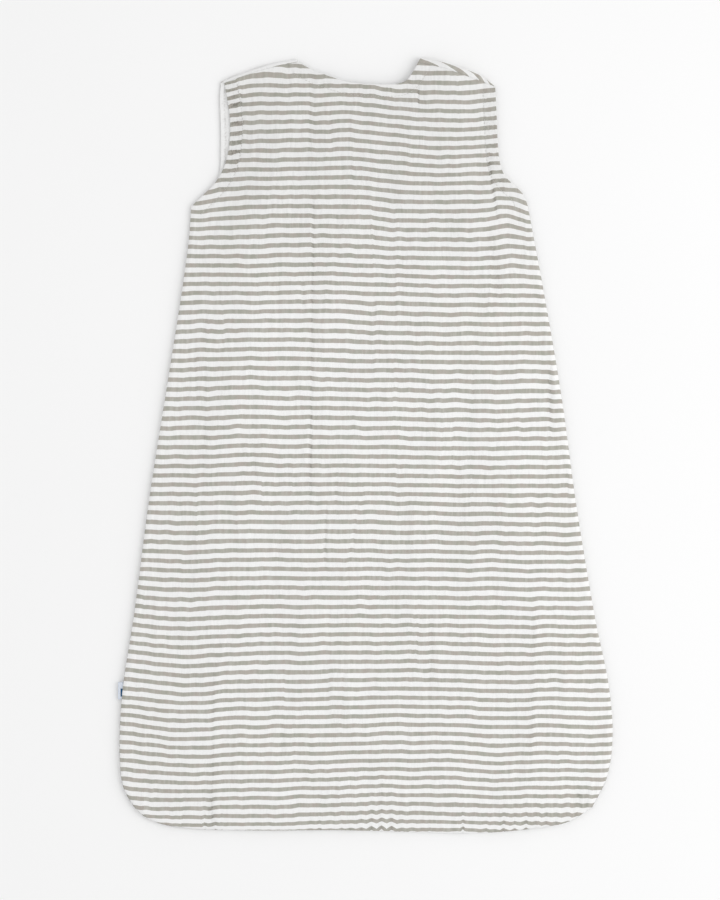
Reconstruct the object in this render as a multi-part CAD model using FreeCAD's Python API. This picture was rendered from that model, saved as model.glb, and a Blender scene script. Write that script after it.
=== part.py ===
"""Baby sleeping bag lying flat on its front, back panel up: sleeveless, double gauze, with a two-way zip.

Millimetres. +Y runs towards the neck, +X to the wearer's right, +Z up and out of the back panel.
The origin is on the surface that the bag lies on, at the middle of its outline, with the zip on X = 0.
"""

import FreeCAD, Part
import math
import os

V = FreeCAD.Vector

# Outline, right half; the left half mirrors it.
BAG_LENGTH = 776.0
HEM_Y = -BAG_LENGTH / 2
NECK_CORNER = (61.0, BAG_LENGTH / 2)
SHOULDER_TIP = (137.5, 364.0)
ARMHOLE_BEND = (134.5, 267.0)
UNDERARM = (169.0, 239.0)
HEM_HALF = 247.0
FLARE_END_Y = -261.0
BACK_NECK_BEND = (40.0, 361.0)
FRONT_NECK_BEND = (40.0, 335.0)
TIP_R = 2.5
ARMHOLE_R = 35.0
UNDERARM_R = 4.0
FLARE_R = 335.0
HEM_CORNER_R = 80.0
BACK_NECK_R = 24.0
FRONT_NECK_R = 34.0

# Layers. The outer cloth is a double gauze, the lining a single one.
BAG_HEIGHT = 17.0
OUTER_T = 1.4
LINING_T = 0.8
LAYER_GAP = 0.05
EDGE_R = 9.0
MOUTH_TOP = 14.3
MOUTH_REACH = 24.0
MOUTH_END = 5.0
CLEAR = 1.0

# Zip: a nylon coil on woven tape, with a raised tunnel in the front cloth for the sliders.
TUNNEL_HALF = 7.5
TUNNEL_CROWN = 16.0
TUNNEL_FOOT = 45.0
LINING_EDGE = 9.0
TAPE_Z = 4.9
TAPE_T = 0.6
TAPE_INNER = 2.2
TAPE_OUTER = 15.0
TAPE_ENDS = (-385.5, 327.0)
TEETH_ENDS = (-363.0, 322.0)
TEETH_GAP = 0.5
TEETH_OUTER = 3.0
TEETH_H = 2.2
STOP_L = 3.0
STOP_GAP = 0.2
GUARD_Z = 7.95
GUARD_T = 0.8
GUARD_HALF = 14.0
GUARD_SEAM_X = -18.0
SEAM_W = 3.0
GUARD_STEP_X = -13.0
GUARD_FOLD_Y = 337.0
GUARD_FLAP_Y = 326.0
GUARD_SIDE = 0.3
GUARD_OUTSIDE_Z = 2.95

# Slider and its pull. A slider that faces +1 has its wide end towards the neck, and -1 towards the hem.
SLIDER_L = 13.0
SLIDER_WIDE = 5.2
SLIDER_NARROW = 4.4
SHOULDER_L = 3.0
SHOULDER_R = 3.0
NOSE_HALF = 2.6
NOSE_R = 1.5
TAIL_R = 1.2
WING_T = 1.0
CHANNEL_HALF = 3.4
CHANNEL_H = 2.6
SLIT_H = 0.9
DIAMOND_HALF = 0.3
DIAMOND_L = 4.0
DIAMOND_INSET = 0.3
BRIDGE_HALF_L = 4.2
BRIDGE_HALF_W = 1.2
BRIDGE_DROP = 2.4
BRIDGE_BAR = 0.9
BRIDGE_LEG = 1.3
BRIDGE_R = 1.6
PIVOT_DROP = 0.75
PIN_R = 0.5
PULL_T = 1.1
PULL_L = 27.0
PULL_HALF_W = 3.5
PULL_ARM = (1.5, 2.6)
PULL_WINDOW = 5.2
PLATE_START = 1.6
PLATE_SHOULDER = 0.2
PLATE_TOP_R = 0.8
PLATE_END_R = 3.3
SLOT_INSET = 2.2
SLOT_L = 6.8
SLOT_HALF = 1.6
SLOT_R = 1.5
UPPER_SLIDER_Y = 315.0
LOWER_SLIDER_Y = -356.0

# Labels. The tab is caught in the left side seam, and its X runs from its free edge to inside the seam.
TAB_X = (-249.5, -238.0)
TAB_Y = (-251.5, -234.5)
TAB_Z = (3.0, 3.9)
CARE_LABEL_SIZE = (32.0, 46.0)
CARE_LABEL_Y = -150.0
CARE_LABEL_IN = 3.2
NECK_LABEL_SIZE = (30.0, 18.0)
NECK_LABEL_Y = 331.0
LABEL_T = 0.4

TINY = 1e-6
TAPE_MID = TAPE_Z + TAPE_T / 2
WING_OUT_TOP = TAPE_MID - CHANNEL_H / 2
WING_IN_BOTTOM = TAPE_MID + CHANNEL_H / 2
PIVOT_Z = WING_OUT_TOP - WING_T - PIVOT_DROP


def rounded_wire(corners):
    """A closed wire of lines and tangent arcs through (x, y, radius) corners."""
    points = [V(x, y, 0) for x, y, _ in corners]
    edges = []
    ends = []
    for i, (_, _, radius) in enumerate(corners):
        here, before, after = points[i], points[i - 1], points[(i + 1) % len(points)]
        back, on = (before - here).normalize(), (after - here).normalize()
        half = math.acos(max(-1.0, min(1.0, back.dot(on)))) / 2
        cut = radius / math.tan(half)
        middle = (back + on).normalize()
        centre = here + middle * (radius / math.sin(half))
        ends.append((here + back * cut, centre - middle * radius, here + on * cut))
    for i, (start, top, end) in enumerate(ends):
        edges.append(Part.Arc(start, top, end).toShape())
        edges.append(Part.LineSegment(end, ends[(i + 1) % len(ends)][0]).toShape())
    return Part.Wire(edges)


def outline(neck_bend, neck_r):
    """The bag's outline with a given neckline, as a closed wire on the surface it lies on."""
    right = [
        (HEM_HALF, HEM_Y, HEM_CORNER_R),
        (HEM_HALF, FLARE_END_Y, FLARE_R),
        (*UNDERARM, UNDERARM_R),
        (*ARMHOLE_BEND, ARMHOLE_R),
        (*SHOULDER_TIP, TIP_R),
        (*NECK_CORNER, TIP_R),
        (*neck_bend, neck_r),
    ]
    left = [(-x, y, r) for x, y, r in reversed(right)]
    return rounded_wire(right + left)


def prism(wire, inset, low, high):
    """The outline pulled in by inset, standing from low to high."""
    face = Part.Face(wire)
    if inset:
        face = Part.Face(wire.makeOffset2D(-inset, 2))
    solid = face.extrude(V(0, 0, high - low))
    solid.translate(V(0, 0, low))
    return solid


def box(x0, x1, y0, y1, z0, z1):
    return Part.makeBox(x1 - x0, y1 - y0, z1 - z0, V(x0, y0, z0))


def rounded_top(solid, top, radius):
    """Rounds every edge of the solid's top face."""
    edges = [e for e in solid.Edges if abs(e.BoundBox.ZMin - top) < TINY and e.BoundBox.ZLength < TINY]
    return solid.makeFillet(radius, edges)


def mouths():
    """The neck and the armholes, where the side walls are open."""
    neck_x, neck_y = NECK_CORNER
    neck = box(MOUTH_END - neck_x, neck_x - MOUTH_END, BACK_NECK_BEND[1] - MOUTH_REACH, neck_y + CLEAR,
               -CLEAR, MOUTH_TOP)
    inner, outer = ARMHOLE_BEND[0] - MOUTH_REACH, UNDERARM[0] + CLEAR
    armhole_y = (UNDERARM[1] + MOUTH_END, SHOULDER_TIP[1] - MOUTH_END)
    right = box(inner, outer, *armhole_y, -CLEAR, MOUTH_TOP)
    left = box(-outer, -inner, *armhole_y, -CLEAR, MOUTH_TOP)
    return neck.fuse([left, right])


def pan(wire, inset, wall, low, high):
    """A shallow cover, open underneath: a top with rounded edges and side walls, open at the mouths."""
    outer = rounded_top(prism(wire, inset, low, high), high, EDGE_R - inset)
    inner_high = high - wall
    inner = rounded_top(prism(wire, inset + wall, low - CLEAR, inner_high), inner_high, EDGE_R - inset - wall)
    return outer.cut(inner).cut(mouths())


def along_zip(profile, ends):
    """A closed XZ profile drawn out along the zip between two Y values."""
    wire = Part.makePolygon([V(x, ends[0], z) for x, z in [*profile, profile[0]]])
    return Part.Face(wire).extrude(V(0, ends[1] - ends[0], 0))


def front_layer(wire, bottom, thickness, inner_edge, crown_z, side):
    """One side of a front layer: flat on the surface, then up a ramp to the zip."""
    line = [(HEM_HALF + CLEAR, bottom), (TUNNEL_FOOT, bottom), (TUNNEL_CROWN, crown_z), (inner_edge, crown_z)]
    profile = line + [(x, z + thickness) for x, z in reversed(line)]
    profile = [(side * x, z) for x, z in profile]
    sheet = along_zip(profile, (HEM_Y - CLEAR, BAG_LENGTH / 2 + CLEAR))
    return sheet.common(prism(wire, OUTER_T + LAYER_GAP, -CLEAR, BAG_HEIGHT))


def zip_tape(side):
    low, high = sorted((side * TAPE_INNER, side * TAPE_OUTER))
    return box(low, high, *TAPE_ENDS, TAPE_Z, TAPE_Z + TAPE_T)


def tape_bar(side, inner, outer, ends, height):
    """A bar round the tape's inner edge, as the coil and the stops are."""
    low, high = sorted((side * inner, side * outer))
    bar = box(low, high, *ends, TAPE_MID - height / 2, TAPE_MID + height / 2)
    return bar.cut(zip_tape(side))


def zip_stops(start):
    """A pair of stops, one on each tape, from start to start + STOP_L."""
    ends = (start, start + STOP_L)
    return [tape_bar(side, TEETH_GAP + STOP_GAP, CHANNEL_HALF, ends, CHANNEL_H) for side in (-1, 1)]


def zip_underlap():
    """The strip of cloth behind the zip, from hem to neck, sewn to the left lining by its lower edge."""
    seam_z = TAPE_Z + TAPE_T + LINING_T + LAYER_GAP
    line = [
        (GUARD_SEAM_X, seam_z),
        (GUARD_SEAM_X + SEAM_W, seam_z),
        (GUARD_STEP_X, GUARD_Z),
        (GUARD_HALF, GUARD_Z),
    ]
    profile = line + [(x, z + GUARD_T) for x, z in reversed(line)]
    return along_zip(profile, (TAPE_ENDS[0], GUARD_FOLD_Y - GUARD_T))


def chin_guard():
    """The end of the underlap, folded round the zip's top end to the outside as a garage for the slider."""
    fold_y = (GUARD_FOLD_Y - GUARD_T, GUARD_FOLD_Y)
    fold = box(-TUNNEL_HALF, TUNNEL_HALF, *fold_y, GUARD_OUTSIDE_Z, GUARD_Z + GUARD_T)
    flap_half = TUNNEL_HALF - GUARD_SIDE
    flap_z = (GUARD_OUTSIDE_Z, GUARD_OUTSIDE_Z + GUARD_T)
    flap = box(-flap_half, flap_half, GUARD_FLAP_Y, GUARD_FOLD_Y, *flap_z)
    return fold.fuse(flap).removeSplitter()


def slider_plan(low, high):
    """The slider's plan, wide at its +Y end where the two chains part, standing from low to high."""
    half = SLIDER_L / 2
    right = [
        (SLIDER_NARROW, -half, TAIL_R),
        (SLIDER_WIDE, half - SHOULDER_L, SHOULDER_R),
        (NOSE_HALF, half, NOSE_R),
    ]
    left = [(-x, y, r) for x, y, r in reversed(right)]
    return prism(rounded_wire(right + left), 0, low, high)


def slider_bridge():
    """The bar over the slider's outer wing that the pull hangs from, and the eye under it."""
    high = WING_OUT_TOP - WING_T
    low = high - BRIDGE_DROP
    bar = box(-BRIDGE_HALF_W, BRIDGE_HALF_W, -BRIDGE_HALF_L, BRIDGE_HALF_L, low, high)
    ends = [e for e in bar.Edges if abs(e.BoundBox.ZMax - low) < TINY and e.BoundBox.YLength < TINY]
    bar = bar.makeFillet(BRIDGE_R, ends)
    eye_half = BRIDGE_HALF_L - BRIDGE_LEG
    return bar.cut(box(-SLIDER_WIDE, SLIDER_WIDE, -eye_half, eye_half, low + BRIDGE_BAR, high))


def placed(shape, y, facing):
    """The shape moved along the zip to y, and turned end for end if facing is -1."""
    if facing < 0:
        shape.rotate(V(0, 0, 0), V(0, 0, 1), 180)
    shape.translate(V(0, y, 0))
    return shape


def slider(y, facing):
    """Two wings joined by a diamond, with flanges round the coils and a bridge for the pull."""
    channel = box(-CHANNEL_HALF, CHANNEL_HALF, -SLIDER_L, SLIDER_L, WING_OUT_TOP, WING_IN_BOTTOM)
    outer = slider_plan(WING_OUT_TOP - WING_T, TAPE_MID - SLIT_H / 2).cut(channel)
    inner = slider_plan(TAPE_MID + SLIT_H / 2, WING_IN_BOTTOM + WING_T).cut(channel)
    tip = SLIDER_L / 2 - DIAMOND_INSET
    diamond = box(-DIAMOND_HALF, DIAMOND_HALF, tip - DIAMOND_L, tip, WING_OUT_TOP, WING_IN_BOTTOM)
    whole = outer.fuse([inner, diamond, slider_bridge()]).removeSplitter()
    return placed(whole, y, facing)


def pull(y, facing):
    """The pull's pin in the bridge, its two arms and its plate, lying along the zip over the closed chain."""
    low, high = PIVOT_Z - PULL_T / 2, PIVOT_Z + PULL_T / 2
    plate_top = PLATE_START - PULL_WINDOW
    plate_half = PULL_ARM[1] + PLATE_SHOULDER
    plate = [
        (-plate_half, plate_top, PLATE_TOP_R),
        (-PULL_HALF_W, -PULL_L, PLATE_END_R),
        (PULL_HALF_W, -PULL_L, PLATE_END_R),
        (plate_half, plate_top, PLATE_TOP_R),
    ]
    body = prism(rounded_wire(plate), 0, low, high)
    body = body.cut(box(-PULL_ARM[0], PULL_ARM[0], -PULL_WINDOW, CLEAR, low, high))
    slot_low, slot_high = SLOT_INSET - PULL_L, SLOT_INSET + SLOT_L - PULL_L
    slot = [
        (-SLOT_HALF, slot_low, SLOT_R),
        (SLOT_HALF, slot_low, SLOT_R),
        (SLOT_HALF, slot_high, SLOT_R),
        (-SLOT_HALF, slot_high, SLOT_R),
    ]
    body = body.cut(prism(rounded_wire(slot), 0, low, high))
    pieces = [Part.makeCylinder(PIN_R, 2 * PULL_ARM[1], V(-PULL_ARM[1], 0, PIVOT_Z), V(1, 0, 0))]
    for side in (-1, 1):
        x0, x1 = sorted((side * PULL_ARM[0], side * PULL_ARM[1]))
        pieces.append(box(x0, x1, CLEAR - PULL_WINDOW, 0, low, high))
        pieces.append(Part.makeCylinder(PULL_T / 2, x1 - x0, V(x0, 0, PIVOT_Z), V(1, 0, 0)))
    return placed(body.fuse(pieces).removeSplitter(), y, facing)


def side_tab(back_outer):
    """The tab outside the left side seam."""
    tab = box(*TAB_X, *TAB_Y, *TAB_Z).cut(back_outer)
    return min(tab.Solids, key=lambda solid: solid.BoundBox.XMin)


def care_label():
    """The label inside the left side seam, lying on the front lining."""
    top = CARE_LABEL_Y + CARE_LABEL_SIZE[1]
    flare = (HEM_HALF - UNDERARM[0]) / (UNDERARM[1] - FLARE_END_Y)
    x = CARE_LABEL_IN - UNDERARM[0] - (UNDERARM[1] - top) * flare
    z = OUTER_T + LINING_T + LAYER_GAP
    return box(x, x + CARE_LABEL_SIZE[0], CARE_LABEL_Y, top, z, z + LABEL_T)


def neck_label():
    """The label under the back lining, just inside the neck."""
    half = NECK_LABEL_SIZE[0] / 2
    high = BAG_HEIGHT - OUTER_T - LAYER_GAP - LINING_T
    return box(-half, half, NECK_LABEL_Y, NECK_LABEL_Y + NECK_LABEL_SIZE[1], high - LABEL_T, high)


def build():
    back_line = outline(BACK_NECK_BEND, BACK_NECK_R)
    front_line = outline(FRONT_NECK_BEND, FRONT_NECK_R)
    crown_outer = TAPE_Z - OUTER_T
    crown_lining = TAPE_Z + TAPE_T
    parts = {"back_outer": pan(back_line, 0.0, OUTER_T, 0.0, BAG_HEIGHT)}
    fronts = []
    for side, name in ((-1, "left"), (1, "right")):
        outer = front_layer(front_line, 0.0, OUTER_T, TUNNEL_HALF, crown_outer, side)
        lining = front_layer(front_line, OUTER_T, LINING_T, LINING_EDGE, crown_lining, side)
        parts[f"front_outer_{name}"] = outer
        parts[f"front_lining_{name}"] = lining
        parts[f"zipper_tape_{name}"] = zip_tape(side)
        parts[f"zipper_teeth_{name}"] = tape_bar(side, TEETH_GAP, TEETH_OUTER, TEETH_ENDS, TEETH_H)
        fronts += [outer, lining]
    lining_low = OUTER_T + LINING_T + LAYER_GAP
    back_lining = pan(back_line, OUTER_T + LAYER_GAP, LINING_T, lining_low, BAG_HEIGHT - OUTER_T - LAYER_GAP)
    parts["back_lining"] = back_lining.cut(fronts)
    parts["zipper_top_stops"] = Part.makeCompound(zip_stops(TEETH_ENDS[1] + STOP_GAP))
    parts["zipper_bottom_stops"] = Part.makeCompound(zip_stops(TEETH_ENDS[0] - STOP_GAP - STOP_L))
    parts["zipper_underlap"] = zip_underlap()
    parts["chin_guard"] = chin_guard()
    parts["side_label"] = side_tab(parts["back_outer"])
    parts["care_label"] = care_label()
    parts["neck_label"] = neck_label()
    parts["slider_upper"] = slider(UPPER_SLIDER_Y, 1)
    parts["pull_upper"] = pull(UPPER_SLIDER_Y, 1)
    parts["slider_lower"] = slider(LOWER_SLIDER_Y, -1)
    parts["pull_lower"] = pull(LOWER_SLIDER_Y, -1)
    return parts


def main():
    os.makedirs("parts", exist_ok=True)
    parts = build()
    for name, shape in parts.items():
        shape.exportStep(f"parts/{name}.step")
        print(f"{name:20s} solids {len(shape.Solids)}  valid {shape.isValid()}  mm3 {shape.Volume:10.1f}")


main()
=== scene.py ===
"""The looks of a baby sleeping bag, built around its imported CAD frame.

Lengths in this script are millimetres in the frame's own axes until a mesh is made, which is in metres.
Left is -X, the hem is at -Y, and the back panel faces up.
"""

import math

import bmesh
import bpy
import numpy as np
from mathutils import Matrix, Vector


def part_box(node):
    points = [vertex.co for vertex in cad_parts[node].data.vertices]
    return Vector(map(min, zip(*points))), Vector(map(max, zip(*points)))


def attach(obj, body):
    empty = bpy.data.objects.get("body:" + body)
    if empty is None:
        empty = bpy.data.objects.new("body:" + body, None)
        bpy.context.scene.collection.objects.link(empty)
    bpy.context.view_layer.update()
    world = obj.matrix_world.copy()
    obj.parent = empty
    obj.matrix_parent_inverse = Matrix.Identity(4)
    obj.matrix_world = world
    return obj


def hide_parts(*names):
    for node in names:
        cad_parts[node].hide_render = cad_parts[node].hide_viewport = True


MM = 0.001
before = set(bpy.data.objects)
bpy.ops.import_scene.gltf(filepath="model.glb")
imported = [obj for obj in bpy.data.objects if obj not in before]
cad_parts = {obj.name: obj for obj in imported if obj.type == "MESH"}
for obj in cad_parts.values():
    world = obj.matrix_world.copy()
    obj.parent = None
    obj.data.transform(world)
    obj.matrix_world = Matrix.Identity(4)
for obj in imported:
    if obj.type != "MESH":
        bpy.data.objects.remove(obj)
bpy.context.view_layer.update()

# ---- outline
# Each line runs through a few points and is smooth between its ends.
SIDE_LEFT = [(-229, -362), (-239, -343), (-242.6, -312), (-240, -250), (-228, -169),
             (-213.8, -61), (-197, 47), (-180, 155), (-173, 208), (-171, 239)]
SIDE_RIGHT = [(231, -363.5), (245.5, -335), (251.8, -295), (248.5, -245), (234, -172),
              (215.5, -61), (200.8, 47), (182.5, 155), (167, 239)]
HEM = [(-229, -362), (-219, -371.5), (-204, -379), (-178, -384), (-119, -386.3),
       (-20, -386.2), (20, -387), (50, -388), (110, -389.3), (165, -385.5), (207, -378),
       (231, -363.5)]
ARMHOLE_LEFT = [(-171, 239), (-158.5, 251), (-146.8, 263), (-139, 276), (-134.5, 290),
                (-132.3, 305), (-132, 328), (-137.5, 363)]
ARMHOLE_RIGHT = [(167, 239), (162, 251.5), (150, 263), (142.6, 272), (138.8, 283),
                 (136.8, 300), (135.5, 330), (134, 359.5)]
FRONT_ARMHOLE_LEFT = [(-170.5, 239), (-159.5, 250.5), (-148, 261.5), (-142.5, 275), (-141.3, 295),
                      (-141.4, 320), (-142.2, 350), (-141, 364)]
FRONT_ARMHOLE_RIGHT = [(166.5, 239), (158, 252.5), (146, 265), (138, 280), (134, 302),
                       (132.5, 330), (132.5, 360)]
# Each shoulder's seam lies a little to the back of its fold.
SEAM_LEFT = [(-137.5, 363), (-109, 373.5), (-80.5, 380.8), (-64, 384)]
FOLD_LEFT = [(-141, 364), (-125, 370.8), (-108, 376.8), (-88, 382.8), (-64.5, 387)]
SEAM_RIGHT = [(56.5, 383), (76.5, 378.5), (106.5, 368.8), (120.5, 364.3), (134, 359.5)]
FOLD_RIGHT = [(59.5, 388.5), (76.5, 385), (88.5, 381.3), (105.5, 376), (120.5, 369.8), (132.5, 361)]
NECK_BACK = [(-64, 384), (-49.5, 376.5), (-16, 364.5), (16, 361.5), (37, 362), (45, 365.5),
             (51.5, 374), (56.5, 383)]
NECK_FRONT_LEFT = [(-64.5, 387), (-57, 361), (-37, 340), (-7.5, 333)]
NECK_FRONT_RIGHT = [(59.5, 388.5), (53, 361), (36, 340), (7.5, 333)]
# Where one seam ends and the next begins, as a share of a panel's side, the back's top and a front's top.
UNDERARM_AT = 0.78
NECK_AT = (0.29, 0.71)
TOP_AT = 0.55
MIDDLE = (0, 0)

# ---- heights
# The back's outer face: at the seams, near them, in the middle, and at its open and pressed edges.
SEAM_Z = 3
EDGE_Z = 6.6
LOFT_Z = 12.6
LOFT_WAVER = 0.5
LOFT_WAVES = (120, 420)
ARMHOLE_Z = 4.8
NECK_Z = 7.6
PRESSED_Z = 4.4
# How far in each edge's height reaches, and the radius of the rolled edges.
SIDE_RISE = 80
HEM_RISE = 36
ARMHOLE_RISE = 60
NECK_RISE = 50
PRESSED_RISE = 60
EDGE_ROLL = 5
SHOULDER_ROLL = 6
MOUTH_ROLL = 1.8
MOUTH_DROP = 0.7
# The zip's end lifts the hem seam over it, by this much and over this reach to each side.
ZIP_LIFT = 1.4
ZIP_LIFT_REACH = 14
# The fronts lie on the floor and rise beside the zip, in a tunnel that the hem closes.
FRONT_Z = 0.8
FRONT_SEAM_Z = 2
FRONT_ROLL = 4
TUNNEL_HALF = 7.5
TUNNEL_FOOT = 45
TUNNEL_CROWN = 16
TUNNEL_RISE = 3
TUNNEL_END = -388
TUNNEL_CLOSES = 24
TAPE_ROOM = 0.8
# The linings lie inside the outer cloth.
LINING_GAP = 1.6
LINING_THICK = 0.4

# ---- cloth
STRIPE_PITCH = 9.29
STRIPE_START = 359.6
STITCH_IN = 12.5
STITCH_GROOVE = 0.4
GROOVE_HALF = 1.5
# The crinkle's two sizes of ridge: height, width across and length along.
CRINKLES = ((0.22, 11, 55), (0.12, 6, 30))
CRINKLE_MEAN = 0.7
CRINKLE_AT_EDGE = 0.3
CRINKLE_EDGE = 8
FRONT_CRINKLE = 0.6
# The lip turned in along a panel's edges: how far in each row lies, and its share of the drop.
LIP_IN = (0.25, 0.9, 2.5, 6)
LIP_DROP = (0.45, 0.9, 1.15, 1.25)
LIP_TOWARD = 3

# ---- lines and fields
SEEDS = {"creases": 5, "loft": 3, "crinkle": 11, "front": 41, "settle": 61, "puckers": 71, "strip": 81}
SPAN_SAMPLES = 24
PATH_SAMPLES = 300
SEAM_SAMPLES = 400
MOUTH_SAMPLES = 200
FOLD_SAMPLES = 100
SPREAD_SAMPLES = 4000
SPREAD_MIDDLE = 1.25
NEAREST_BLOCK = 4000
RIPPLE_SPREAD = 0.8
TINY = 1e-9
# In metres.
WELD_REACH = 1e-7


def between(t0, t1, t, a, b):
    """The value at t on the straight line from a at t0 to b at t1."""
    return (t1 - t) / (t1 - t0) * a + (t - t0) / (t1 - t0) * b


def along(points, samples):
    """Evenly spaced points on a smooth line through the given ones (Catmull-Rom, by chord length)."""
    p = np.array(points, float)
    p = np.vstack([2 * p[0] - p[1], p, 2 * p[-1] - p[-2]])
    t = np.concatenate([[0], np.cumsum(np.sqrt(np.linalg.norm(np.diff(p, axis=0), axis=1)))])
    line = []
    for i in range(1, len(p) - 2):
        s = np.linspace(t[i], t[i + 1], SPAN_SAMPLES, endpoint=False)[:, None]
        a1 = between(t[i - 1], t[i], s, p[i - 1], p[i])
        a2 = between(t[i], t[i + 1], s, p[i], p[i + 1])
        a3 = between(t[i + 1], t[i + 2], s, p[i + 1], p[i + 2])
        b1 = between(t[i - 1], t[i + 1], s, a1, a2)
        b2 = between(t[i], t[i + 2], s, a2, a3)
        line.append(between(t[i], t[i + 1], s, b1, b2))
    line = np.vstack([*line, p[-2]])
    at = np.concatenate([[0], np.cumsum(np.linalg.norm(np.diff(line, axis=0), axis=1))])
    want = np.linspace(0, at[-1], samples)
    return np.column_stack([np.interp(want, at, line[:, k]) for k in range(p.shape[1])])


def path(lines, breaks=()):
    """A function from 0..1 to points on lines end to end, whose shares end at the breaks."""
    at = np.concatenate([np.linspace(a, b, PATH_SAMPLES) for a, b in zip([0, *breaks], [*breaks, 1])])
    points = np.vstack([along(line, PATH_SAMPLES) for line in lines])
    return lambda t: np.column_stack([np.interp(t, at, points[:, k]) for k in (0, 1)])


def patch(left, right, bottom, top, u, v):
    """A Coons patch: a grid of points between four joined paths."""
    low, high = (line(np.array([0, 1])) for line in (bottom, top))
    uu, vv = u[None, :, None], v[:, None, None]
    sides = (1 - uu) * left(v)[:, None] + uu * right(v)[:, None]
    sides = sides + (1 - vv) * bottom(u)[None] + vv * top(u)[None]
    corners = (1 - uu) * (1 - vv) * low[0] + uu * (1 - vv) * low[1]
    corners = corners + (1 - uu) * vv * high[0] + uu * vv * high[1]
    return sides - corners


def spread(count, length, fine, reach, inset=0):
    """Values from 0 to 1 along a line, fine mm apart at its ends and even past reach."""
    s = np.linspace(0, length, SPREAD_SAMPLES)
    edge = np.minimum(s, length - s)
    step = fine + (SPREAD_MIDDLE * length / count - fine) * np.clip(edge / reach, 0, 1)
    at = np.concatenate([[0], np.cumsum(1 / step[:-1])])
    even = np.interp(np.linspace(0, at[-1], count + 1), at, s) / length
    return inset + (1 - 2 * inset) * even


def nearest(points, line):
    """Distance from each point to a dense line's nearest point, and that point's number."""
    distance, index = np.empty(len(points)), np.empty(len(points), int)
    for i in range(0, len(points), NEAREST_BLOCK):
        block = slice(i, i + NEAREST_BLOCK)
        gap = ((points[block, None] - line[None]) ** 2).sum(2)
        index[block] = gap.argmin(1)
        distance[block] = np.sqrt(gap.min(1))
    return distance, index


def soft_step(x):
    x = np.clip(x, 0, 1)
    return x * x * (3 - 2 * x)


def rounded(distance, radius):
    """The rise of a round edge, from 0 on the edge to 1 at its radius."""
    return np.sqrt(1 - (1 - np.clip(distance / radius, 0, 1)) ** 2)


def bell(x):
    return np.exp(-x * x)


def lengths(rows):
    """The length of each row, as a column."""
    return np.linalg.norm(rows, axis=1)[:, None]


def ripple(points, seed, wave_x, wave_y, count=48):
    """A smooth random field of unit size, with waves about wave_x across and wave_y along the bag."""
    rng = np.random.default_rng(seed)
    total = np.zeros(len(points))
    for _ in range(count):
        kx = 2 * math.pi / wave_x * rng.normal(0, RIPPLE_SPREAD)
        ky = 2 * math.pi / wave_y * rng.normal(0, RIPPLE_SPREAD)
        total += np.cos(points[:, 0] * kx + points[:, 1] * ky + rng.uniform(0, 2 * math.pi))
    return total * math.sqrt(2 / count)


SIDES = np.vstack([along(line, SEAM_SAMPLES) for line in (SIDE_LEFT, SIDE_RIGHT)])
HEM_LINE = along(HEM, SEAM_SAMPLES)
SEAMS = np.vstack([SIDES, HEM_LINE])
PRESSED = along(FOLD_LEFT, FOLD_SAMPLES)
SHOULDERS = np.vstack([PRESSED, along(FOLD_RIGHT, FOLD_SAMPLES)])
ARMHOLES = np.vstack([along(line, MOUTH_SAMPLES) for line in (ARMHOLE_LEFT, ARMHOLE_RIGHT)])
NECK = along(NECK_BACK, MOUTH_SAMPLES)
FRONT_ARMHOLES = np.vstack([along(line, MOUTH_SAMPLES) for line in (FRONT_ARMHOLE_LEFT, FRONT_ARMHOLE_RIGHT)])

# ---- how the cloth lies
# Where hands smoothed the bag out: centre x, y, reach across and along, and how far the stripes sag.
DRAGS = [
    (0, 0, 900, 150, 8), (0, -215, 900, 110, 9), (0, 190, 900, 35, 1.3), (0, 75, 900, 25, -1),
    (70, 95, 60, 50, 1.1), (30, 235, 35, 35, 1.2), (0, -372, 900, 14, 1.3), (215, -200, 40, 150, 1.4),
    (-150, -335, 80, 28, 1.4), (-222, -255, 25, 40, 1), (0, 38, 900, 28, -0.7), (18, -389, 32, 7, 1.3),
    (0, -100, 900, 28, 1.5), (0, -215, 900, 30, -1), (0, -315, 900, 36, 2.3), (85, 330, 60, 95, 7),
    (35, 366, 22, 25, 2), (95, 200, 60, 45, 1.8), (130, 30, 110, 230, 2.4), (144, 226, 14, 30, -2.4),
    (186, 160, 15, 25, 2), (170, 240, 14, 22, 4.5), (200, -90, 35, 75, 2.2), (-142, 374, 30, 24, 5.5),
    (-85, 379, 32, 9, -2.9), (-104, 377, 15, 8, -1.4), (-112, 357, 16, 20, -1.5), (-130, 200, 30, 35, 1.5),
    (-168, 250, 22, 28, 5), (-100, 95, 55, 75, -0.8), (-30, 150, 30, 70, -1.2), (-178, -240, 38, 120, 5),
    (-100, -290, 70, 90, 2.2), (-120, -385, 100, 35, 3.5), (-215, -355, 30, 28, 3), (140, -290, 28, 110, 2.2),
    (235, -280, 30, 90, 2), (190, -385, 60, 35, 3), (30, -300, 30, 80, -1), (-60, -130, 22, 100, 1),
    (-185, -20, 30, 90, 1.2), (-100, -389, 45, 9, -1), (0, -342, 900, 12, 0.5), (-205, -366, 22, 14, 1.2),
    (95, -368, 18, 12, 1.2), (-16, 300, 22, 55, -1.9), (80, 278, 22, 26, 1.6), (113, 262, 18, 45, -1.2),
    (-162, 68, 18, 25, 0.8), (240, -342, 14, 14, 1.4), (152, 182, 15, 18, -1.8), (190, 60, 22, 30, 0.9),
    (-115, -67, 32, 14, 0.9), (158, -67, 26, 14, 0.9), (-190, -288, 20, 14, 0.9), (-80, -233, 12, 10, 1),
]
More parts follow.
